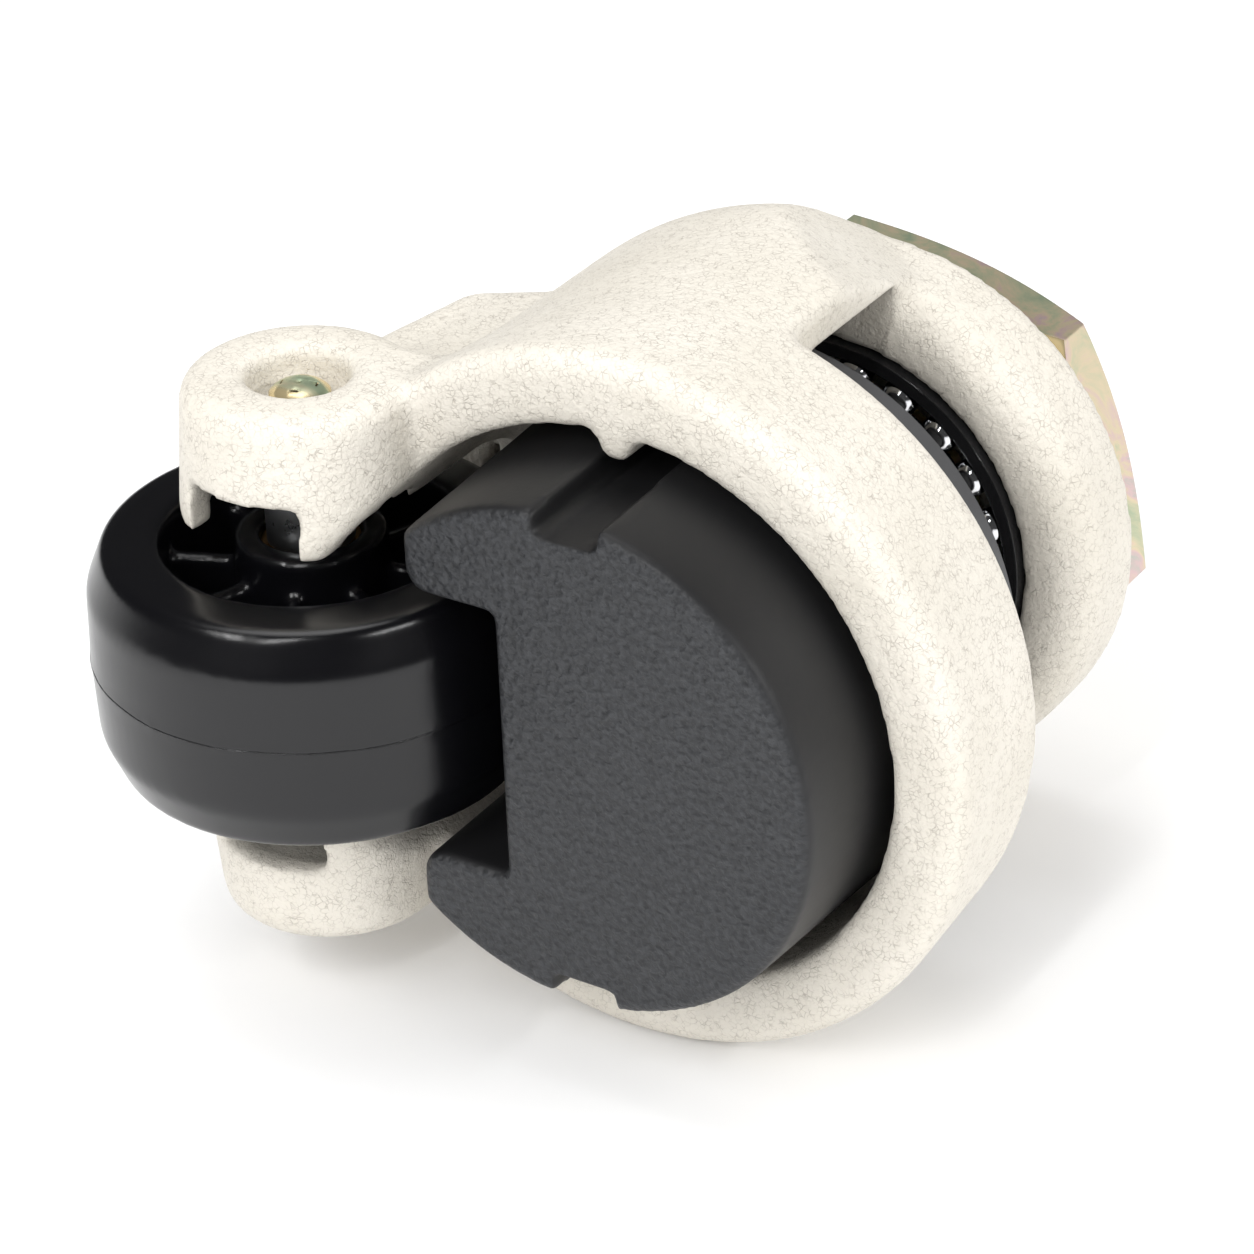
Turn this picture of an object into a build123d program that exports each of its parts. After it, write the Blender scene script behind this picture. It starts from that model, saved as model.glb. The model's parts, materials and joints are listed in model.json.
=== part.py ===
from build123d import *
import math
import os

# Levelling castor: a cast swivel housing that carries one hard wheel and, beside it, a screw-down foot pad.
# Upright frame, millimetres: +Z up the swivel axis, -X towards the wheel, the wheel turns about Y.
# Heights are written from the skirt's lower rim; finished pieces are shifted so that the origin
# is the centre of the threaded hole's mouth, on top of the hexagon.

# ---------------------------------------------------------------- driving dimensions
# wheel
wheel_r = 25.4  # tread radius
wheel_half = 13.6  # half the wheel's width
axle_x = -38.0  # axle place
axle_z = -2.0
rim_r = 16.7  # radius of the dished recess in each side
hub_r = 8.5
hub_half = 13.9
hub_bore_r = 5.6
rib_count = 8
rib_wide = 1.8
parting_ridge = 0.15  # moulding line round the tread

# axle, bushes and screws
axle_r = 4.0
axle_half = 27.8
screw_r = 1.6
screw_head_r = 3.4
screw_head_high = 2.3
screw_length = 10.0
bush_long = 8.0
bush_sunk = 1.4  # how far a bush sits inside the hub's mouth

# housing
skirt_in_r = 33.4
skirt_out_r = 42.2  # at the lower rim
body_r = 41.0  # upright wall
skirt_top = 18.8  # lower edge of the adjusting window
web_low = 21.6
web_top = 25.2
window_top = 46.2  # underside of the bearing flange
flange_r = 32.6
flange_top = 59.1
flange_low_round = 5.0
relief_low = 31.0  # where the shoulder starts to fall away, at the window's end
relief_lean = (0.38, 0.85, 0.36)
window_half_angle = 74.5
cavity_r = 34.8
shoulder_low = 41.0
boss_r = 12.9  # at the outer face
boss_skirt_r = 14.2  # at the wheel side
boss_face = 33.0  # outer faces, from the middle plane
boss_floor = 23.4  # hollow side of each boss
pocket_half = 16.2  # half the gap that the wheel runs in
pocket_r = 27.4
arm_top = 8.8
hood_half = 26.9
hood_wall = 3.8
hood_front_low = (-45.6, 7.5)
hood_front_high = (-40.8, 34.3)
hood_back = (-28.0, 42.0)
counterbore_r = 5.7
counterbore_deep = 4.7
key_x = 0.5  # guide keys in the skirt

# foot pad
pad_low = -12.4
pad_top = 20.3
pad_gap = 1.9  # between the pad and the skirt
pad_top_r = skirt_in_r - pad_gap
pad_low_r = pad_top_r - 1.5
pad_x = 1.0  # the round sits a little away from the wheel
pad_notch_x = -7.1
pad_notch_half = 16.2
pad_ear_x = -18.2
pad_floor = 2.7
pad_step_x = -10.6  # shallower part of the notch, beside the nut
pad_step_z = 8.0
pad_bore_r = 5.75
key_groove_x = 2.3
groove_wide = 7.6
groove_deep = 3.0
foot_travel = 18.0

# adjusting screw
spindle_r = 5.0
spindle_neck_r = 4.0
thumb_r = 31.4
thumb_low = web_top + 0.5
thumb_top = 32.5
thumb_hub_r = 11.0
nut_high = 8.0
nut_r = 8.8
stop_ring_high = 1.4
dowel_r = 1.25

# swivel bearing and mounting head
hex_across = 53.4
hex_low = 59.7
hex_top_z = 70.4
hex_turn = 13.5
stud_hole_r = 7.0
stud_hole_deep = 12.5
pin_shoulder_r = 14.5
pin_r = 9.0
race_out_r = 24.6
race_high = 5.8
upper_seat_r = 25.4
upper_seat_deep = 4.0
flange_bore_r = 16.5
ball_r = 2.3
ball_circle_r = 21.2
ball_z = 47.0
ball_count = 22
upper_ball_r = 1.75
upper_ball_count = 20
king_nut_across = 27.0
king_nut_high = 6.0
tab_washer_high = 1.0
thrust_washer_high = 1.4

# clearances
run_fit = 0.06  # shafts that turn in bores, on the radius
seat_fit = 0.06  # pressed and seated rounds, on the radius
ball_fit = 0.12  # grooves round the balls
air = 0.3  # faces of moving neighbours
ball_wall = 2.6  # race metal under and over a ball
cone_wide = 2.1  # how far the cone's lip stays inside the ball circle
upper_race_wide = 3.6

# ---------------------------------------------------------------- worked-out places
axle_line = Axis((axle_x, 0, axle_z), (0, 1, 0))
swivel_line = Axis.Z
axle_plane = Plane.XY.offset(axle_z)
seat_low = window_top
seat_top = seat_low + race_high
race_low = seat_low - 0.8
upper_seat_z = flange_top - upper_seat_deep
cone_low = ball_z - ball_wall
cone_top = ball_z + ball_wall + 1.0
king_nut_top = cone_low - tab_washer_high
king_nut_low = king_nut_top - king_nut_high
thrust_low = king_nut_low - 0.2 - thrust_washer_high
hub_top = thrust_low
nut_top = pad_top
nut_low = nut_top - nut_high
stop_ring_top = nut_low - foot_travel - 0.3
spindle_low = stop_ring_top - stop_ring_high - 0.2
pad_bore_low = pad_low + pad_floor
screw_seat = boss_face - counterbore_deep
washer_high = 0.8
upper_ball_circle_r = (upper_seat_r + pin_shoulder_r) / 2 + 0.5
upper_ball_z = hex_low - upper_ball_r + 0.6
upper_race_high = upper_ball_z - upper_ball_r - upper_seat_z + 0.5
os.makedirs("parts", exist_ok=True)


def relief_place(side):
    """Where the shoulder's sloping relief meets the window's end."""
    turn = side * math.radians(window_half_angle)
    return (body_r * math.cos(turn), body_r * math.sin(turn), relief_low)


def turned(points, line, plane):
    """Make a round solid from the corner points of its half section."""
    with BuildPart() as piece:
        with BuildSketch(plane):
            with BuildLine():
                Polyline(*points, close=True)
            make_face()
        revolve(axis=line)
    return piece


def finish(piece, name):
    """Label a finished piece and write its file."""
    placed = piece.part.moved(Location((0, 0, -hex_top_z)))
    placed.label = name
    export_step(placed, "parts/" + name + ".step")


# ---------------------------------------------------------------- housing, one casting
# half sections, as (radius, height)
skirt_section = [
    (skirt_in_r, 0),
    (skirt_out_r, 0),
    (body_r, skirt_top),
    (cavity_r + 2.0, skirt_top + 3.5),
    (cavity_r, web_top),
    (spindle_r + run_fit, web_top),
    (spindle_r + run_fit, web_low),
    (skirt_in_r - 1.4, web_low),
    (skirt_in_r, skirt_top),
]
flange_section = [
    (flange_bore_r, seat_top),
    (race_out_r + seat_fit, seat_top),
    (race_out_r + seat_fit, seat_low),
    (flange_r, seat_low),
    (flange_r, flange_top),
    (upper_seat_r + seat_fit, flange_top),
    (upper_seat_r + seat_fit, upper_seat_z),
    (flange_bore_r, upper_seat_z),
]
wall_start = math.radians(window_half_angle)
wall_plane = Plane(
    origin=(0, 0, 0),
    x_dir=(math.cos(wall_start), math.sin(wall_start), 0),
    z_dir=(math.sin(wall_start), -math.cos(wall_start), 0),
)
roof_rise = (hood_back[1] - hood_front_high[1]) / (hood_back[0] - hood_front_high[0])
roof_drop = hood_wall * math.sqrt(1 + roof_rise**2)
inner_front = hood_front_low[0] - 8.0
inner_back = hood_back[0]


def under_roof(x):
    """Height of the roof's underside over a place along X."""
    return hood_front_high[1] + roof_rise * (x - hood_front_high[0]) - roof_drop


with BuildPart() as housing:
    # hood over the wheel: side walls and a sloping roof
    with BuildSketch(Plane.XZ):
        with BuildLine():
            Polyline(
                hood_front_low,
                hood_front_high,
                hood_back,
                (hood_back[0], hood_front_low[1]),
                close=True,
            )
        make_face()
    extrude(amount=hood_half, both=True)
    fillet(housing.edges().filter_by(Axis.Y).group_by(Axis.X)[1], 3.0)
    side_edges = housing.faces().filter_by(Axis.Y).edges()
    fillet(side_edges.filter_by(lambda e: e.center().Z > arm_top + 1.0 and e.center().X < hood_back[0] - 1.0), 1.6)
    with BuildSketch(Plane.XZ):
        with BuildLine():
            Polyline(
                (inner_front, hood_front_low[1] - 1.0),
                (inner_front, under_roof(inner_front)),
                (inner_back, under_roof(inner_back)),
                (inner_back, hood_front_low[1] - 1.0),
                close=True,
            )
        make_face()
    extrude(amount=hood_half - hood_wall, both=True, mode=Mode.SUBTRACT)

    # upright wall, open at the adjusting window, with a rounded shoulder up to the flange
    with BuildSketch(wall_plane):
        with BuildLine():
            Polyline(
                (flange_r - 6, flange_top),
                (flange_r - 6, window_top),
                (cavity_r, window_top),
                (cavity_r, skirt_top),
                (body_r, skirt_top),
            )
            Line((body_r, skirt_top), (body_r, shoulder_low))
            Spline(
                (body_r, shoulder_low),
                (flange_r, flange_top),
                tangents=[(0, 1), (-1, 1.6)],
            )
            Line((flange_r, flange_top), (flange_r - 6, flange_top))
        make_face()
    revolve(axis=swivel_line, revolution_arc=360 - 2 * window_half_angle)

    # bearing flange and lower skirt
    with BuildSketch(Plane.XZ) as flange_face:
        with BuildLine():
            Polyline(*flange_section, close=True)
        make_face()
        rim_corners = flange_face.vertices().group_by(Axis.X)[-1].sort_by(Axis.Y)
        fillet(rim_corners[0], flange_low_round)
        fillet(rim_corners[1], 1.6)
    revolve(axis=swivel_line)
    with BuildSketch(Plane.XZ) as skirt_face:
        with BuildLine():
            Polyline(*skirt_section, close=True)
        make_face()
        foot_corners = skirt_face.vertices().group_by(Axis.Y)[0]
        fillet(foot_corners.sort_by(Axis.X)[-1], 2.2)
        fillet(skirt_face.vertices().group_by(Axis.Y)[0].sort_by(Axis.X)[0], 0.8)
    revolve(axis=swivel_line)

    # arms and axle bosses
    for side in (1, -1):
        with BuildSketch(Plane.XZ.offset(-side * boss_face)):
            with BuildLine():
                Polyline(
                    (axle_x, 0.0),
                    (axle_x, arm_top),
                    (-body_r * 0.5, arm_top),
                    (-body_r * 0.5, 0.0),
                    close=True,
                )
            make_face()
        extrude(amount=side * (boss_face - pocket_half))
        with BuildSketch(axle_plane) as boss_face_sketch:
            with BuildLine():
                Polyline(
                    (axle_x, side * pocket_half),
                    (axle_x - boss_skirt_r, side * pocket_half),
                    (axle_x - boss_r, side * boss_face),
                    (axle_x, side * boss_face),
                    close=True,
                )
            make_face()
            fillet(boss_face_sketch.vertices().group_by(Axis.X)[0], 1.2)
            outer_corner = boss_face_sketch.vertices().sort_by(lambda v: abs(v.Y))[-2:]
            fillet(ShapeList(outer_corner).sort_by(Axis.X)[0], 2.4)
        revolve(axis=axle_line)

    # hollows: adjusting wheel, foot pad, road wheel
    with BuildSketch(Plane.XY.offset(web_top)):
        Circle(cavity_r)
    extrude(amount=window_top - web_top, mode=Mode.SUBTRACT)
    with BuildSketch(Plane.XY.offset(-20.0)):
        Circle(skirt_in_r)
    extrude(amount=20.0 + skirt_top, mode=Mode.SUBTRACT)
    with BuildSketch(Plane.XZ):
        with Locations((axle_x, axle_z)):
            Circle(pocket_r)
    extrude(amount=pocket_half, both=True, mode=Mode.SUBTRACT)

    # hollow bosses, notched below so that dirt falls out
    for side in (1, -1):
        with BuildSketch(Plane.XZ.offset(-side * boss_floor)):
            with Locations((axle_x, axle_z)):
                Circle(boss_skirt_r - 3.4)
        extrude(amount=side * (boss_floor - pocket_half + 1.0), mode=Mode.SUBTRACT)
        with BuildSketch(Plane.XZ.offset(-side * (boss_floor - 0.6))):
            with Locations(Location((axle_x, axle_z), -90.0)):
                with Locations((boss_skirt_r, 0)):
                    Rectangle(12.0, 14.0)
        extrude(amount=side * (boss_floor - pocket_half), mode=Mode.SUBTRACT)
        with BuildSketch(Plane.XZ.offset(-side * axle_half)):
            with Locations((axle_x, axle_z)):
                Circle(axle_r + seat_fit)
        extrude(amount=side * 8.0, mode=Mode.SUBTRACT)
        with BuildSketch(Plane.XZ.offset(-side * boss_face)):
            with Locations((axle_x, axle_z)):
                Circle(screw_r + 0.5)
        extrude(amount=side * 8.0, mode=Mode.SUBTRACT)
        with BuildSketch(Plane.XZ.offset(-side * boss_face)):
            with Locations((axle_x, axle_z)):
                Circle(counterbore_r)
        extrude(amount=side * counterbore_deep, mode=Mode.SUBTRACT)

    # the shoulder falls away towards each end of the window
    for side in (1, -1):
        with BuildPart(mode=Mode.PRIVATE) as relief:
            with BuildSketch(Plane(origin=relief_place(side), z_dir=(relief_lean[0], side * relief_lean[1], relief_lean[2]))):
                Rectangle(2 * skirt_out_r, 2 * skirt_out_r)
            extrude(amount=skirt_out_r)
            with BuildSketch(Plane.XY):
                Circle(flange_r)
            extrude(amount=2 * hex_top_z, mode=Mode.SUBTRACT)
        add(relief.part, mode=Mode.SUBTRACT)

    # two guide keys that keep the foot pad from turning
    for side in (1, -1):
        with BuildSketch(Plane.XY):
            with BuildLine():
                Polyline(
                    (key_x - 3.1, side * (skirt_in_r + 1.0)),
                    (key_x - 1.3, side * (skirt_in_r - 2.9)),
                    (key_x + 1.3, side * (skirt_in_r - 2.9)),
                    (key_x + 3.1, side * (skirt_in_r + 1.0)),
                    close=True,
                )
            make_face()
        extrude(amount=web_low)
finish(housing, "housing")

# ---------------------------------------------------------------- road wheel
tread_edge_y = wheel_half - 0.2
wheel_section = [
    (hub_bore_r, hub_half),
    (hub_r, hub_half),
    (hub_r - 0.3 + 0.6, 2.4),
    (rim_r - 0.7, 2.4),
    (rim_r, wheel_half),
    (wheel_r - 2.3, tread_edge_y),
    (wheel_r - 0.25, 8.4),
    (wheel_r, 0.35),
    (wheel_r + parting_ridge, 0.15),
]
with BuildPart() as wheel:
    with BuildSketch(axle_plane) as wheel_face:
        with BuildLine():
            upper = [(axle_x + r, y) for r, y in wheel_section]
            lower = [(axle_x + r, -y) for r, y in reversed(wheel_section)]
            Polyline(*upper, *lower, close=True)
        make_face()
        tread_corners = wheel_face.vertices().filter_by(lambda v: abs(abs(v.Y) - 8.4) < 0.01)
        fillet(tread_corners, 2.4)
        side_corners = wheel_face.vertices().filter_by(lambda v: abs(v.X - axle_x - wheel_r + 2.3) < 0.01)
        fillet(side_corners, 0.8)
        lip_corners = wheel_face.vertices().filter_by(lambda v: abs(v.X - axle_x - rim_r) < 0.01)
        fillet(lip_corners, 0.5)
        hub_corners = wheel_face.vertices().filter_by(lambda v: abs(v.X - axle_x - hub_r) < 0.01)
        fillet(hub_corners, 0.4)
    revolve(axis=axle_line)
    with BuildSketch(Plane.XZ.offset(-(wheel_half - 4.0))):
        for rib in range(rib_count):
            turn = 360.0 / rib_count * (rib + 0.5)
            with Locations(Location((axle_x, axle_z), turn)):
                with Locations(((hub_r + rim_r) / 2, 0)):
                    Rectangle(rim_r - hub_r + 0.8, rib_wide)
    extrude(amount=2 * (wheel_half - 4.0))
finish(wheel, "wheel")

# ---------------------------------------------------------------- axle, bushes, spacers, screws
with BuildPart() as axle:
    with BuildSketch(Plane.XZ.offset(-axle_half)):
        with Locations((axle_x, axle_z)):
            Circle(axle_r)
    extrude(amount=2 * axle_half)
    chamfer(axle.edges().filter_by(GeomType.CIRCLE), 0.4)
    for side in (1, -1):
        with BuildSketch(Plane.XZ.offset(-side * axle_half)):
            with Locations((axle_x, axle_z)):
                Circle(screw_r + seat_fit)
        extrude(amount=side * (screw_length + 1.0), mode=Mode.SUBTRACT)
finish(axle, "axle")

for side, side_name in ((-1, "front"), (1, "rear")):
    bush_out = side * (hub_half - bush_sunk)
    bush = turned(
        [
            (axle_x + axle_r + run_fit, bush_out - side * bush_long),
            (axle_x + hub_bore_r - seat_fit, bush_out - side * bush_long),
            (axle_x + hub_bore_r - seat_fit, bush_out),
            (axle_x + axle_r + run_fit, bush_out),
        ],
        axle_line,
        axle_plane,
    )
    finish(bush, "hub_bush_" + side_name)
    spacer_in = bush_out + side * air
    spacer = turned(
        [
            (axle_x + axle_r + seat_fit, spacer_in),
            (axle_x + hub_bore_r - 0.7, spacer_in),
            (axle_x + hub_bore_r - 0.7, side * boss_floor),
            (axle_x + axle_r + seat_fit, side * boss_floor),
        ],
        axle_line,
        axle_plane,
    )
    finish(spacer, "axle_spacer_" + side_name)
    screw_washer = turned(
        [
            (axle_x + screw_r + seat_fit, side * screw_seat),
            (axle_x + screw_head_r + 0.5, side * screw_seat),
            (axle_x + screw_head_r + 0.5, side * (screw_seat + washer_high)),
            (axle_x + screw_r + seat_fit, side * (screw_seat + washer_high)),
        ],
        axle_line,
        axle_plane,
    )
    finish(screw_washer, "screw_washer_" + side_name)
    head_low = screw_seat + washer_high
    head_top = head_low + screw_head_high
    with BuildPart() as screw:
        with BuildSketch(axle_plane):
            with BuildLine():
                Polyline(
                    (axle_x, side * head_top),
                    (axle_x, side * (head_low - screw_length)),
                    (axle_x + screw_r, side * (head_low - screw_length)),
                    (axle_x + screw_r, side * head_low),
                    (axle_x + screw_head_r, side * head_low),
                    (axle_x + screw_head_r, side * (head_top - 1.0)),
                )
                ThreePointArc(
                    (axle_x + screw_head_r, side * (head_top - 1.0)),
                    (axle_x + screw_head_r * 0.72, side * (head_top - 0.22)),
                    (axle_x, side * head_top),
                )
            make_face()
        revolve(axis=axle_line)
        with BuildSketch(Plane.XZ.offset(-side * head_top)):
            with Locations(Location((axle_x, axle_z), 20.0)):
                Rectangle(4.2, 0.9)
                Rectangle(0.9, 4.2)
                Circle(0.9)
        extrude(amount=side * 1.6, taper=8, mode=Mode.SUBTRACT)
    finish(screw, "axle_screw_" + side_name)

# ---------------------------------------------------------------- foot pad and its screw
with BuildPart() as foot_pad:
    with BuildSketch(Plane.XY.offset(pad_low)) as pad_outline:
        with Locations((pad_x, 0)):
            Circle(pad_top_r + 0.5)
        with Locations((pad_step_x - pad_top_r, 0)):
            Rectangle(2 * pad_top_r, 2 * pad_notch_half, mode=Mode.SUBTRACT)
        with Locations((pad_ear_x - pad_top_r, 0)):
            Rectangle(2 * pad_top_r, 4 * pad_top_r, mode=Mode.SUBTRACT)
        ear_corners = pad_outline.vertices().group_by(Axis.X)[0]
        fillet(ear_corners, 2.8)
    extrude(amount=pad_top - pad_low)
    with BuildSketch(Plane.XZ):
        with BuildLine():
            Polyline(
                (pad_x, pad_low),
                (pad_x + pad_low_r, pad_low),
                (pad_x + pad_top_r, pad_top),
                (pad_x, pad_top),
                close=True,
            )
        make_face()
    revolve(axis=Axis((pad_x, 0, 0), (0, 0, 1)), mode=Mode.INTERSECT)
    with BuildSketch(Plane.XY.offset(pad_low)):
        with Locations((pad_notch_x - pad_top_r, 0)):
            Rectangle(2 * pad_top_r, 2 * pad_notch_half)
    extrude(amount=pad_step_z - pad_low, mode=Mode.SUBTRACT)
    fillet(foot_pad.faces().sort_by(Axis.Z)[0].edges(), 0.8)
    with BuildSketch(Plane.XY.offset(pad_low)):
        for side in (1, -1):
            with Locations((key_groove_x, side * (pad_low_r + 2.0))):
                Rectangle(groove_wide, 2 * (groove_deep + 2.0))
    extrude(amount=pad_top - pad_low, mode=Mode.SUBTRACT)
    with BuildSketch(Plane.XY.offset(pad_bore_low)):
        Circle(pad_bore_r)
    extrude(amount=pad_top - pad_bore_low, mode=Mode.SUBTRACT)
    with BuildSketch(Plane.XY.offset(nut_low)):
        Circle(nut_r + seat_fit)
    extrude(amount=nut_high, mode=Mode.SUBTRACT)
finish(foot_pad, "foot_pad")

pad_nut = turned(
    [
        (spindle_r + run_fit, nut_low),
        (nut_r, nut_low),
        (nut_r, nut_top),
        (spindle_r + run_fit, nut_top),
    ],
    swivel_line,
    Plane.XZ,
)
finish(pad_nut, "pad_nut")

spindle_blank = turned(
    [
        (0, spindle_low),
        (spindle_r - 1.2, spindle_low),
        (spindle_r - 1.2, stop_ring_top),
        (spindle_r, stop_ring_top),
        (spindle_r, thumb_low),
        (spindle_neck_r, thumb_low),
        (spindle_neck_r, hub_top),
        (0, hub_top),
    ],
    swivel_line,
    Plane.XZ,
)
with BuildPart() as spindle:
    add(spindle_blank.part)
    with BuildSketch(Plane.YZ.offset(-thumb_hub_r)):
        with Locations((0, (thumb_low + hub_top) / 2)):
            Circle(dowel_r + seat_fit)
    extrude(amount=2 * thumb_hub_r, mode=Mode.SUBTRACT)
finish(spindle, "spindle")

stop_ring = turned(
    [
        (spindle_r - 1.2 + seat_fit, stop_ring_top - stop_ring_high),
        (spindle_r + 0.45, stop_ring_top - stop_ring_high),
        (spindle_r + 0.45, stop_ring_top),
        (spindle_r - 1.2 + seat_fit, stop_ring_top),
    ],
    swivel_line,
    Plane.XZ,
)
finish(stop_ring, "stop_ring")

thumbwheel_blank = turned(
    [
        (spindle_neck_r + seat_fit, thumb_low),
        (thumb_r, thumb_low),
        (thumb_r, thumb_top),
        (thumb_r - 3.0, thumb_top),
        (thumb_r - 4.0, thumb_low + 2.4),
        (thumb_hub_r + 1.0, thumb_low + 2.4),
        (thumb_hub_r, hub_top),
        (spindle_neck_r + seat_fit, hub_top),
    ],
    swivel_line,
    Plane.XZ,
)
with BuildPart() as thumbwheel:
    add(thumbwheel_blank.part)
    with BuildSketch(Plane.YZ.offset(-thumb_hub_r - 2)):
        with Locations((0, (thumb_low + hub_top) / 2)):
            Circle(dowel_r + seat_fit)
    extrude(amount=2 * thumb_hub_r + 4, mode=Mode.SUBTRACT)
finish(thumbwheel, "thumbwheel")

with BuildPart() as dowel:
    with BuildSketch(Plane.YZ.offset(-thumb_hub_r + 1.0)):
        with Locations((0, (thumb_low + hub_top) / 2)):
            Circle(dowel_r)
    extrude(amount=2 * (thumb_hub_r - 1.0))
finish(dowel, "spindle_dowel")

thrust_washer = turned(
    [
        (pin_r - 4.0, thrust_low),
        (thumb_hub_r - 0.5, thrust_low),
        (thumb_hub_r - 0.5, thrust_low + thrust_washer_high),
        (pin_r - 4.0, thrust_low + thrust_washer_high),
    ],
    swivel_line,
    Plane.XZ,
)
finish(thrust_washer, "thrust_washer")

# ---------------------------------------------------------------- swivel bearing
groove_r = ball_r + ball_fit
with BuildPart() as outer_race:
    with BuildSketch(Plane.XZ):
        with BuildLine():
            Polyline(
                (ball_circle_r + 1.5, race_low),
                (race_out_r, race_low),
                (race_out_r, seat_top),
                (ball_circle_r - 1.0, seat_top),
                close=True,
            )
        make_face()
        with Locations((ball_circle_r, ball_z)):
            Circle(groove_r, mode=Mode.SUBTRACT)
    revolve(axis=swivel_line)
finish(outer_race, "outer_race")

with BuildPart() as lower_balls:
    with Locations((0, 0, ball_z)):
        with PolarLocations(ball_circle_r, ball_count, start_angle=-16.0):
            Sphere(ball_r)
finish(lower_balls, "lower_balls")

with BuildPart() as lower_cone:
    with BuildSketch(Plane.XZ):
        with BuildLine():
            Polyline(
                (pin_r + seat_fit, cone_low),
                (ball_circle_r - cone_wide, cone_low),
                (ball_circle_r - cone_wide, ball_z + 1.2),
                (pin_shoulder_r + cone_wide + 0.1, cone_top),
                (pin_r + seat_fit, cone_top),
                close=True,
            )
        make_face()
        with Locations((ball_circle_r, ball_z)):
            Circle(groove_r, mode=Mode.SUBTRACT)
    revolve(axis=swivel_line)
finish(lower_cone, "lower_cone")

with BuildPart() as upper_race:
    with BuildSketch(Plane.XZ):
        with BuildLine():
            Polyline(
                (upper_ball_circle_r - upper_race_wide, upper_seat_z),
                (upper_seat_r, upper_seat_z),
                (upper_seat_r, upper_seat_z + upper_race_high),
                (upper_ball_circle_r - upper_race_wide, upper_seat_z + upper_race_high),
                close=True,
            )
        make_face()
        with Locations((upper_ball_circle_r, upper_ball_z)):
            Circle(upper_ball_r + ball_fit, mode=Mode.SUBTRACT)
    revolve(axis=swivel_line)
finish(upper_race, "upper_race")

with BuildPart() as upper_balls:
    with Locations((0, 0, upper_ball_z)):
        with PolarLocations(upper_ball_circle_r, upper_ball_count):
            Sphere(upper_ball_r)
finish(upper_balls, "upper_balls")

# ---------------------------------------------------------------- mounting head, turned from hexagon bar
hex_corner_r = hex_across / 2 / math.cos(math.radians(30))
chamfer_r = hex_across / 2 - 0.6
chamfer_high = (hex_corner_r - chamfer_r) * math.tan(math.radians(32))
with BuildPart() as hex_head:
    with BuildSketch(Plane.XY.offset(hex_low)):
        RegularPolygon(hex_across / 2, 6, major_radius=False, rotation=hex_turn)
    extrude(amount=hex_top_z - hex_low)
    with BuildSketch(Plane.XZ):
        with BuildLine():
            Polyline(
                (0, hex_low),
                (chamfer_r, hex_low),
                (hex_corner_r, hex_low + chamfer_high),
                (hex_corner_r, hex_top_z - chamfer_high),
                (chamfer_r, hex_top_z),
                (0, hex_top_z),
                close=True,
            )
        make_face()
    revolve(axis=swivel_line, mode=Mode.INTERSECT)
    with BuildSketch(Plane.XZ):
        with BuildLine():
            Polyline(
                (0, hex_low + 1.0),
                (pin_shoulder_r, hex_low + 1.0),
                (pin_shoulder_r, cone_top),
                (pin_r, cone_top),
                (pin_r, king_nut_low + 0.4),
                (0, king_nut_low + 0.4),
                close=True,
            )
        make_face()
    revolve(axis=swivel_line)
    with BuildSketch(Plane.XZ):
        with Locations((upper_ball_circle_r, upper_ball_z)):
            Circle(upper_ball_r + ball_fit)
    revolve(axis=swivel_line, mode=Mode.SUBTRACT)
    with BuildSketch(Plane.XY.offset(hex_top_z - stud_hole_deep)):
        Circle(stud_hole_r)
    extrude(amount=stud_hole_deep, mode=Mode.SUBTRACT)
finish(hex_head, "hex_head")

with BuildPart() as tab_washer:
    with BuildSketch(Plane.XY.offset(king_nut_top)):
        Circle(king_nut_across / 2 + 1.0)
        Circle(pin_r + seat_fit, mode=Mode.SUBTRACT)
    extrude(amount=tab_washer_high)
finish(tab_washer, "tab_washer")

with BuildPart() as king_nut:
    with BuildSketch(Plane.XY.offset(king_nut_low)):
        RegularPolygon(king_nut_across / 2, 6, major_radius=False)
        Circle(pin_r + seat_fit, mode=Mode.SUBTRACT)
    extrude(amount=king_nut_high)
finish(king_nut, "king_nut")
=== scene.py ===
# %% [markdown]
# # Levelling castor: looks for a CAD part
# A levelling castor is a swivelling machine wheel with a screw-down foot beside it. The solids come from
# CAD and stay exactly where they are. This script gives each piece its real finish, lays the castor on its
# side on a pale table, as it would be shown in a catalogue, and lights it with soft boxes.

import json
import math

import bpy
from mathutils import Matrix, Vector


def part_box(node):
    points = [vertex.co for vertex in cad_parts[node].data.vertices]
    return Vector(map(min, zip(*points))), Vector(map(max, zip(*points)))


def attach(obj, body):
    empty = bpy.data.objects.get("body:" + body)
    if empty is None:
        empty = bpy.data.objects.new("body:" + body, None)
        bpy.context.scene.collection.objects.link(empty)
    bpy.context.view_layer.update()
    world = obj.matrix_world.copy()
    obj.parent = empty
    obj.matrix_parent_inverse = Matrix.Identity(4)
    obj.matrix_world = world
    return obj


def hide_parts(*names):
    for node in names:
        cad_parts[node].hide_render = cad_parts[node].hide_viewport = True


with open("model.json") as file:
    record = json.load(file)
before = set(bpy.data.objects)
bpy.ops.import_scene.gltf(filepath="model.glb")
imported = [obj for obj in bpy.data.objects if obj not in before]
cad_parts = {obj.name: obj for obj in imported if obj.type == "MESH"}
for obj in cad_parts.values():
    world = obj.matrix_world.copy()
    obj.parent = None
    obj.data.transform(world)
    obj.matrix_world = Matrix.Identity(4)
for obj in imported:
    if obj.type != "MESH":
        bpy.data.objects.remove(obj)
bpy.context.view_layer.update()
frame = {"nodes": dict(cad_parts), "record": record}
MM = 0.001
scene = bpy.context.scene

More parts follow.
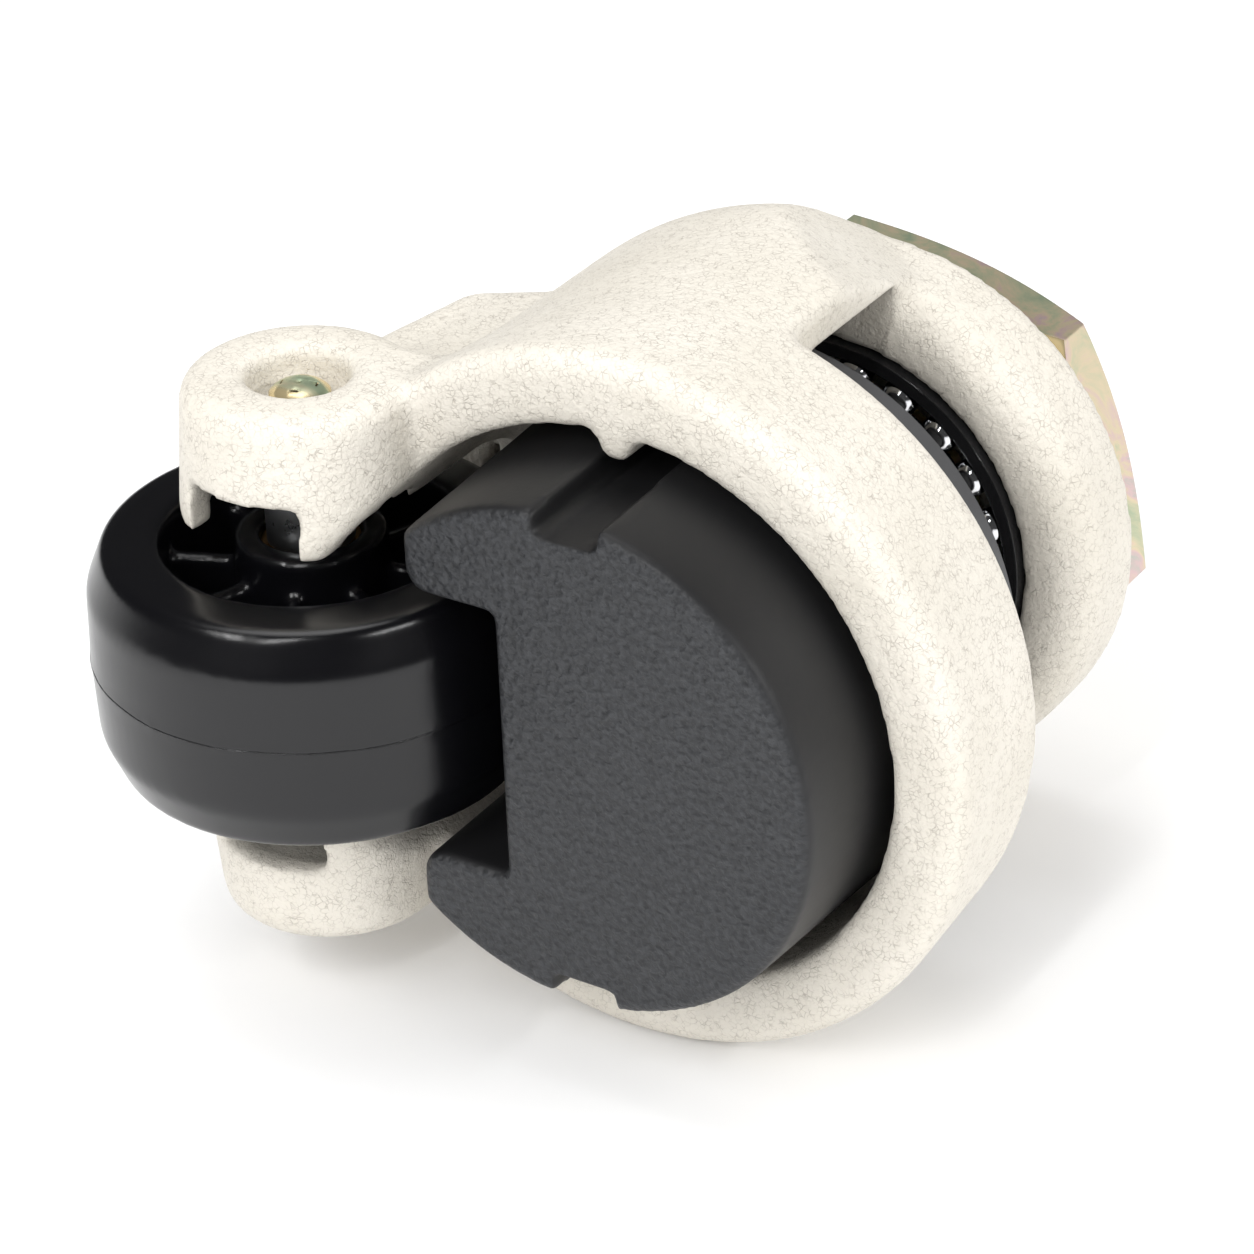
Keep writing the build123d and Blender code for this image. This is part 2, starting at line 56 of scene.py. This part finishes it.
# %% [markdown]
# ## Helpers for finishes
# Every finish is a Principled shader with a little procedural texture. The texture is placed in the
# object's own metres, so one millimetre of paint grain is one millimetre on every piece. Small helpers keep
# the cells below short: each adds one kind of node, sets its sockets and joins it to what comes before.


# %% Material helpers
def node(material, kind, **settings):
    """Add a node and set its attributes or its input sockets by name."""
    made = material.node_tree.nodes.new(kind)
    for key, value in settings.items():
        if key in made.bl_rna.properties:
            setattr(made, key, value)
        else:
            made.inputs[key.replace("_", " ")].default_value = value
    return made


def link(material, source, target):
    """Join an output socket to an input socket."""
    material.node_tree.links.new(source, target)


def new_finish(name, colour, metallic, roughness, **sockets):
    """Make a material with one Principled shader and the object's own coordinates."""
    material = bpy.data.materials.new(name)
    material.use_nodes = True
    shader = material.node_tree.nodes["Principled BSDF"]
    shader.inputs["Base Color"].default_value = (*colour, 1.0)
    shader.inputs["Metallic"].default_value = metallic
    shader.inputs["Roughness"].default_value = roughness
    for key, value in sockets.items():
        shader.inputs[key.replace("_", " ")].default_value = value
    place = node(material, "ShaderNodeTexCoord")
    return material, shader, place.outputs["Object"]


def ramp(material, source, stops):
    """Turn a grey value into a colour along the given (place, colour) stops."""
    made = node(material, "ShaderNodeValToRGB")
    elements = made.color_ramp.elements
    while len(elements) < len(stops):
        elements.new(0.5)
    for element, (at, colour) in zip(elements, stops):
        element.position = at
        element.color = (*colour, 1.0)
    link(material, source, made.inputs["Fac"])
    return made.outputs["Color"]


def bump(material, height, strength, distance, under=None):
    """Add relief from a grey value, on top of an earlier relief if one is given."""
    made = node(material, "ShaderNodeBump", Strength=strength, Distance=distance)
    link(material, height, made.inputs["Height"])
    if under:
        link(material, under, made.inputs["Normal"])
    return made.outputs["Normal"]


def noise(material, at, scale, detail, **settings):
    """Add a noise placed in the object's metres; its outputs are Fac and Color."""
    made = node(material, "ShaderNodeTexNoise", Scale=scale, Detail=detail, **settings)
    link(material, at, made.inputs["Vector"])
    return made.outputs


def remap(material, source, from_range, to_range):
    """Carry a grey value from one range to another, clipped at both ends."""
    made = node(material, "ShaderNodeMapRange")
    for socket, value in zip(("From Min", "From Max", "To Min", "To Max"), (*from_range, *to_range)):
        made.inputs[socket].default_value = value
    link(material, source, made.inputs["Value"])
    return made.outputs["Result"]


def calculate(material, operation, first, second):
    """Add or multiply two grey values."""
    made = node(material, "ShaderNodeMath", operation=operation)
    link(material, first, made.inputs[0])
    link(material, second, made.inputs[1])
    return made.outputs["Value"]


def mix(material, factor, first, second):
    """Blend two colours by a grey value; each is a socket or a plain colour."""
    made = node(material, "ShaderNodeMix", data_type="RGBA")
    link(material, factor, made.inputs["Factor"])
    for socket, colour in (("A", first), ("B", second)):
        if isinstance(colour, tuple):
            made.inputs[socket].default_value = (*colour, 1.0)
        else:
            link(material, colour, made.inputs[socket])
    return made.outputs["Result"]


def facing_up(material):
    """How far the surface faces along Z: 1 upwards, -1 downwards."""
    surface = node(material, "ShaderNodeNewGeometry")
    parts = node(material, "ShaderNodeSeparateXYZ")
    link(material, surface.outputs["Normal"], parts.inputs["Vector"])
    return parts.outputs["Z"]


def rounded(material, radius):
    """A normal that rounds every edge by a radius, without changing the mesh."""
    return node(material, "ShaderNodeBevel", samples=4, Radius=radius).outputs["Normal"]


UNIT = (0.0, 1.0)
print("helpers ready")

# %% [markdown]
# ## Ivory powder coat
# The casting is sprayed with a thick powder and baked. It cures with an orange-peel skin, and fine hair
# cracks and pits where the powder has drawn together. An image of paint could be wrapped round it, but a
# noise for the skin and a cell pattern for the cracks follow every curve without seams. The cracks are bent
# by one noise so that they wander, and cut by a second so that they come and go.


# %% Powder coat
PAINT_DARK = (0.69, 0.65, 0.57)
PAINT_PALE = (0.75, 0.71, 0.635)
CRACK_COLOUR = (0.50, 0.46, 0.40)
CRACK_WANDER = 1.1 * MM
CRACK_WIDTH = 0.09


def powder_coat():
    """Ivory paint with an orange-peel skin and broken hair cracks."""
    material, shader, at = new_finish(
        "ivory powder coat", (0.74, 0.70, 0.62), 0.0, 0.55, Specular_IOR_Level=0.35
    )
    shifted = node(material, "ShaderNodeVectorMath", operation="MULTIPLY_ADD")
    shifted.inputs[1].default_value = (CRACK_WANDER, CRACK_WANDER, CRACK_WANDER)
    link(material, noise(material, at, 620.0, 3.0)["Color"], shifted.inputs[0])
    link(material, at, shifted.inputs[2])
    cells = node(material, "ShaderNodeTexVoronoi", feature="DISTANCE_TO_EDGE", Scale=1500.0)
    link(material, shifted.outputs["Vector"], cells.inputs["Vector"])
    lines = remap(material, cells.outputs["Distance"], (0.0, CRACK_WIDTH), (1.0, 0.0))
    shown = remap(material, noise(material, at, 900.0, 2.0)["Fac"], (0.36, 0.66), UNIT)
    cracks = calculate(material, "MULTIPLY", lines, shown)
    tint = noise(material, at, 60.0, 4.0)["Fac"]
    paint = ramp(material, tint, [(0.3, PAINT_DARK), (0.7, PAINT_PALE)])
    link(material, mix(material, cracks, paint, CRACK_COLOUR), shader.inputs["Base Color"])
    skin = noise(material, at, 1300.0, 3.0, Roughness=0.6)["Fac"]
    peel = bump(material, skin, 0.75, 0.3 * MM)
    depth = node(material, "ShaderNodeMath", operation="MULTIPLY")
    depth.inputs[1].default_value = -1.0
    link(material, cracks, depth.inputs[0])
    relief = bump(material, depth.outputs["Value"], 0.5, 0.12 * MM, peel)
    link(material, relief, shader.inputs["Normal"])
    return material


ivory = powder_coat()
print("made", ivory.name)

# %% [markdown]
# ## Black nylon wheel
# The wheel is moulded in hard nylon and polished by the mould, so it is nearly a mirror, with faint flow
# marks. A plain black with low roughness would look like glass; a little waviness in the relief and patches
# of slightly duller skin make it plastic.


# %% Nylon
def black_nylon():
    """Glossy black with slightly duller patches and faint flow marks."""
    material, shader, at = new_finish(
        "black nylon", (0.003, 0.003, 0.004), 0.0, 0.2, Specular_IOR_Level=0.5
    )
    dull = noise(material, at, 70.0, 5.0)["Fac"]
    roughness = remap(material, dull, (0.3, 0.7), (0.17, 0.26))
    link(material, roughness, shader.inputs["Roughness"])
    flow = noise(material, at, 130.0, 2.0)["Fac"]
    relief = bump(material, flow, 0.08, 0.25 * MM, rounded(material, 0.4 * MM))
    link(material, relief, shader.inputs["Normal"])
    return material


nylon = black_nylon()
print("made", nylon.name)

# %% [markdown]
# ## Grained foot pad
# The face that meets the floor is moulded with a leather-like grain for grip, and the sides are drawn
# smooth out of the mould. One material does both: the surface's own direction tells the face from the
# sides, so the grain fades out where the edge turns.


# %% Pad
PAD_SIDE = (0.009, 0.009, 0.010)
PAD_DARK = (0.011, 0.012, 0.014)
PAD_PALE = (0.032, 0.034, 0.038)


def pad_rubber():
    """Dark rubber, grained where it faces down and satin on its sides."""
    material, shader, at = new_finish(
        "grained dark rubber", (0.04, 0.042, 0.048), 0.0, 0.5, Specular_IOR_Level=0.5
    )
    face = remap(material, facing_up(material), (-0.5, -0.95), UNIT)
    grain = node(material, "ShaderNodeTexVoronoi", feature="SMOOTH_F1", Scale=1000.0, Smoothness=0.4)
    link(material, at, grain.inputs["Vector"])
    fine = noise(material, at, 1500.0, 3.0, Distortion=0.4)["Fac"]
    both = calculate(material, "ADD", grain.outputs["Distance"], fine)
    relief = bump(material, calculate(material, "MULTIPLY", both, face), 0.9, 0.3 * MM)
    satin = noise(material, at, 1800.0, 2.0)["Fac"]
    link(material, bump(material, satin, 0.12, 0.1 * MM, relief), shader.inputs["Normal"])
    shade = ramp(material, fine, [(0.35, PAD_DARK), (0.7, PAD_PALE)])
    link(material, mix(material, face, PAD_SIDE, shade), shader.inputs["Base Color"])
    return material


rubber = pad_rubber()
print("made", rubber.name)

# %% [markdown]
# ## Yellow chromated steel
# The hexagon and the axle screws are zinc plated and dipped in yellow chromate. The film is thin enough to
# split light, so it drifts between olive, straw and pink across a few millimetres. A slow noise drives a
# colour ramp of those tints. The turned chamfers are smoother than the drawn flats, so they shine more
# golden: again the direction of the surface tells them apart.


# %% Yellow zinc
FILM_TINTS = [
    (0.36, (0.44, 0.53, 0.36)),
    (0.44, (0.62, 0.62, 0.42)),
    (0.50, (0.78, 0.66, 0.46)),
    (0.56, (0.74, 0.55, 0.54)),
    (0.64, (0.50, 0.56, 0.48)),
]
TURNED_GOLD = (0.80, 0.66, 0.38)


def yellow_zinc():
    """Drifting chromate tints on upright flats, smoother gold on chamfers and ends."""
    material, shader, at = new_finish("yellow chromate", (0.6, 0.52, 0.33), 0.7, 0.34)
    drift = noise(material, at, 75.0, 6.0, Roughness=0.6, Distortion=1.2)["Fac"]
    slope = node(material, "ShaderNodeMath", operation="ABSOLUTE")
    link(material, facing_up(material), slope.inputs[0])
    turned = remap(material, slope.outputs["Value"], (0.2, 0.4), UNIT)
    colour = mix(material, turned, ramp(material, drift, FILM_TINTS), TURNED_GOLD)
    link(material, colour, shader.inputs["Base Color"])
    link(material, remap(material, turned, UNIT, (0.36, 0.16)), shader.inputs["Roughness"])
    drawn = noise(material, at, 500.0, 4.0)["Fac"]
    relief = bump(material, drawn, 0.15, 0.15 * MM, rounded(material, 0.5 * MM))
    link(material, relief, shader.inputs["Normal"])
    return material


chromate = yellow_zinc()
print("made", chromate.name)

# %% [markdown]
# ## Plain metals and the grey moulding
# The pieces inside are ordinary zinc-plated, ground or oiled steel, polished balls, sintered bronze and one
# matte moulding. They differ in colour, gloss and the depth of one fine grain, so one function makes them
# all.


# %% Inner finishes
def grained_finish(name, colour, metallic, roughness, grain_scale, grain_depth):
    """A finish with fine grain, and patches that are a little duller and darker."""
    material, shader, at = new_finish(name, colour, metallic, roughness)
    grain = noise(material, at, grain_scale, 4.0)["Fac"]
    wear = noise(material, at, 90.0, 3.0)["Fac"]
    darker = tuple(0.82 * c for c in colour)
    worn = ramp(material, wear, [(0.35, darker), (0.65, colour)])
    link(material, worn, shader.inputs["Base Color"])
    dull = remap(material, grain, UNIT, (0.75 * roughness, 1.25 * roughness))
    link(material, dull, shader.inputs["Roughness"])
    relief = bump(material, grain, 0.2, grain_depth, rounded(material, 0.25 * MM))
    link(material, relief, shader.inputs["Normal"])
    return material


finishes = {
    "ivory_paint": ivory,
    "black_nylon": nylon,
    "dark_rubber": rubber,
    "yellow_zinc": chromate,
    "grey_moulding": grained_finish("grey moulding", (0.085, 0.085, 0.088), 0.0, 0.5, 1600.0, 0.08 * MM),
    "zinc_steel": grained_finish("zinc plate", (0.60, 0.61, 0.62), 1.0, 0.3, 900.0, 0.05 * MM),
    "bearing_steel": grained_finish("ground steel", (0.50, 0.51, 0.52), 1.0, 0.24, 1400.0, 0.02 * MM),
    "ball_steel": grained_finish("polished balls", (0.80, 0.81, 0.83), 1.0, 0.08, 600.0, 0.01 * MM),
    "black_race": grained_finish("oiled black race", (0.012, 0.012, 0.013), 0.0, 0.16, 700.0, 0.03 * MM),
    "bush_bronze": grained_finish("oiled bronze", (0.60, 0.40, 0.18), 1.0, 0.34, 1300.0, 0.04 * MM),
}
print("finishes:", sorted(finishes))

# %% [markdown]
# ## Dress the solids
# The record says which finish each CAD node has. Only the material slots change: the solids keep their
# shape and place, so the size and the motion set in CAD stay true.

# %% Assign finishes
for part in frame["record"]["subparts"]:
    piece = frame["nodes"][part["node"]]
    piece.data.materials.clear()
    piece.data.materials.append(finishes[part["material_slot"]])

# %% [markdown]
# ## Soft edges of the casting and the pad
# A sand or die casting has no sharp edge left once it has been blasted and powder coated, and a rubber pad
# leaves its mould with small rounds. Bevelling a CAD mesh edge by edge leaves thin triangles in the way.
# Rebuilding a copy of the solid from small cubes and relaxing it rounds every edge and inner corner alike,
# and draws the surface in very slightly. The copy is shown in place of the solid and moves with the same
# body.


# %% Round the edges
def soften(node_name, body, cube, passes):
    """Show a copy of a CAD node, rebuilt from cubes of one size and relaxed a few times."""
    solid = frame["nodes"][node_name]
    soft = bpy.data.objects.new("soft_" + node_name, solid.data.copy())
    scene.collection.objects.link(soft)
    remesh = soft.modifiers.new("cubes", "REMESH")
    remesh.mode = "VOXEL"
    remesh.voxel_size = cube
    remesh.use_smooth_shade = True
    relax = soft.modifiers.new("relax", "SMOOTH")
    relax.factor = 0.5
    relax.iterations = passes
    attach(soft, body)
    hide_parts(node_name)
    shown = soft.evaluated_get(bpy.context.evaluated_depsgraph_get())
    print(soft.name, "has", len(shown.data.polygons), "faces")


soften("housing", "fork", 0.85 * MM, 6)
soften("foot_pad", "foot", 0.6 * MM, 4)
soften("wheel", "wheel", 0.5 * MM, 10)

# %% [markdown]
# ## Parting line
# The wheel's mould opens at the middle of the tread and leaves a hair of flash. The softened copy has lost
# it, so a thin ring puts it back: a circle with a round section that wavers a little from side to side. It
# stays just inside the tread of the CAD solid, so the castor's size is unchanged.


# %% Flash ring
FLASH_THICK = 0.16 * MM
FLASH_INSET = 0.04 * MM
FLASH_STEPS = 180
FLASH_WAVES = ((0.06 * MM, 7), (0.04 * MM, 17))


def flash_ring():
    """Lay a thin wavering ring round the middle of the tread."""
    low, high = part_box("wheel")
    centre = (low + high) / 2
    radius = (high.z - low.z) / 2 - FLASH_THICK - FLASH_INSET
    curve = bpy.data.curves.new("parting_flash", "CURVE")
    curve.dimensions = "3D"
    curve.bevel_depth = FLASH_THICK
    curve.bevel_resolution = 2
    path = curve.splines.new("POLY")
    path.points.add(FLASH_STEPS - 1)
    for step, point in enumerate(path.points):
        angle = 2 * math.pi * step / FLASH_STEPS
        wander = sum(reach * math.sin(waves * angle) for reach, waves in FLASH_WAVES)
        point.co = (radius * math.cos(angle), wander, radius * math.sin(angle), 1.0)
    path.use_cyclic_u = True
    ring = bpy.data.objects.new("parting_flash", curve)
    ring.location = centre
    curve.materials.append(nylon)
    scene.collection.objects.link(ring)
    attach(ring, "wheel")
    print("flash ring radius", round(radius / MM, 2), "mm")


flash_ring()

# %% [markdown]
# ## Table
# The castor lies on its side: the rim of its skirt is a tenth of a millimetre off the table, along +Y. The
# table is one large pale sheet. It is see-through from behind, so that a view from under it shows the
# castor.


# %% Table top
TABLE_GAP = 0.1 * MM
TABLE_HALF = 3.0
TABLE_TONES = [(0.3, (0.955, 0.955, 0.96)), (0.7, (0.97, 0.97, 0.97))]


def table_finish():
    """Pale and matte from the front, clear from behind."""
    material, shader, at = new_finish("pale table", (0.96, 0.96, 0.96), 0.0, 0.7)
    tone = ramp(material, noise(material, at, 30.0, 3.0)["Fac"], TABLE_TONES)
    link(material, tone, shader.inputs["Base Color"])
    surface = node(material, "ShaderNodeNewGeometry")
    clear = node(material, "ShaderNodeBsdfTransparent")
    chosen = node(material, "ShaderNodeMixShader")
    link(material, surface.outputs["Backfacing"], chosen.inputs["Fac"])
    link(material, shader.outputs["BSDF"], chosen.inputs[1])
    link(material, clear.outputs["BSDF"], chosen.inputs[2])
    output = material.node_tree.nodes["Material Output"]
    link(material, chosen.outputs["Shader"], output.inputs["Surface"])
    return material


table_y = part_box("housing")[1].y + TABLE_GAP
table_mesh = bpy.data.meshes.new("table")
corners = [(x * TABLE_HALF, table_y, z * TABLE_HALF) for x, z in ((-1, -1), (1, -1), (1, 1), (-1, 1))]
table_mesh.from_pydata(corners, [], [(0, 1, 2, 3)])
table_mesh.materials.append(table_finish())
table = bpy.data.objects.new("table", table_mesh)
scene.collection.objects.link(table)
print("table at y =", round(table_y / MM, 1), "mm, facing", tuple(table_mesh.polygons[0].normal))

# %% [markdown]
# ## Camera
# A catalogue shot looks at the castor from below its skirt, past the pad, with a long lens so that the
# round pieces stay round. The camera is set by where it looks from, how far away it stands, the point it
# aims at and which way is up in the picture.

# %% Place the camera
look_from = Vector((0.4757, -0.4989, -0.7241)).normalized()
picture_up = Vector((-0.2413, -0.8661, 0.4373))
aim = Vector((-1.3, -7.9, -65.8)) * MM
distance = 460 * MM
lens_mm = 122.76
sensor_mm = 36.0
across = picture_up.cross(look_from).normalized()
picture_up = look_from.cross(across)
camera_data = bpy.data.cameras.new("camera")
camera_data.sensor_width = sensor_mm
camera_data.lens = lens_mm
camera_data.clip_start = 0.01
camera = bpy.data.objects.new("camera", camera_data)
turn = Matrix((across, picture_up, look_from)).transposed()
camera.matrix_world = Matrix.Translation(aim + look_from * distance) @ turn.to_4x4()
scene.collection.objects.link(camera)
scene.camera = camera
print("camera", round(distance / MM), "mm from", tuple(round(v / MM, 1) for v in aim))

# %% [markdown]
# ## Light
# Glossy nylon shows the shape of its lamps, so the lamps are soft boxes: a large one high over the castor,
# a tall one at each side, and two narrow strips in front. A pale surrounding keeps the shadows open. It is
# much darker to glossy rays, or the black nylon would mirror it and look grey.


# %% Soft boxes
def soft_box(name, right, up, out, reach, size, power):
    """Put an oblong lamp, reach metres from the aim towards (right, up, out), pointing back at it."""
    lamp_data = bpy.data.lights.new(name, "AREA")
    lamp_data.shape = "RECTANGLE"
    lamp_data.size = size[0]
    lamp_data.size_y = size[1]
    lamp_data.energy = power
    lamp = bpy.data.objects.new(name, lamp_data)
    towards = (across * right + picture_up * up + look_from * out).normalized()
    lamp.location = aim + towards * reach
    lamp.rotation_euler = towards.to_track_quat("Z", "Y").to_euler()
    scene.collection.objects.link(lamp)


SURROUND_LEVEL = 0.76
SURROUND_IN_GLOSS = 0.06

soft_box("overhead box", -0.15, 1.0, 0.35, 0.8, (0.5, 0.4), 1.7)
soft_box("left box", -0.75, 0.35, 0.9, 0.7, (0.05, 0.42), 1.6)
soft_box("right box", 1.0, 0.35, 0.5, 0.8, (0.12, 0.4), 0.7)
soft_box("front strip", -0.3, 0.2, 1.0, 0.9, (0.035, 0.5), 2.0)
soft_box("side strip", 0.65, 0.15, 0.75, 0.9, (0.035, 0.5), 2.0)
world = bpy.data.worlds.new("studio")
world.use_nodes = True
world.node_tree.nodes["Background"].inputs["Color"].default_value = (1.0, 1.0, 1.0, 1.0)
surround = world.node_tree.nodes["Background"].inputs["Strength"]
ray = world.node_tree.nodes.new("ShaderNodeLightPath")
gloss_level = world.node_tree.nodes.new("ShaderNodeMapRange")
gloss_level.inputs["To Min"].default_value = SURROUND_LEVEL
gloss_level.inputs["To Max"].default_value = SURROUND_IN_GLOSS
world.node_tree.links.new(ray.outputs["Is Glossy Ray"], gloss_level.inputs["Value"])
world.node_tree.links.new(gloss_level.outputs["Result"], surround)
scene.world = world
scene.view_settings.view_transform = "Standard"
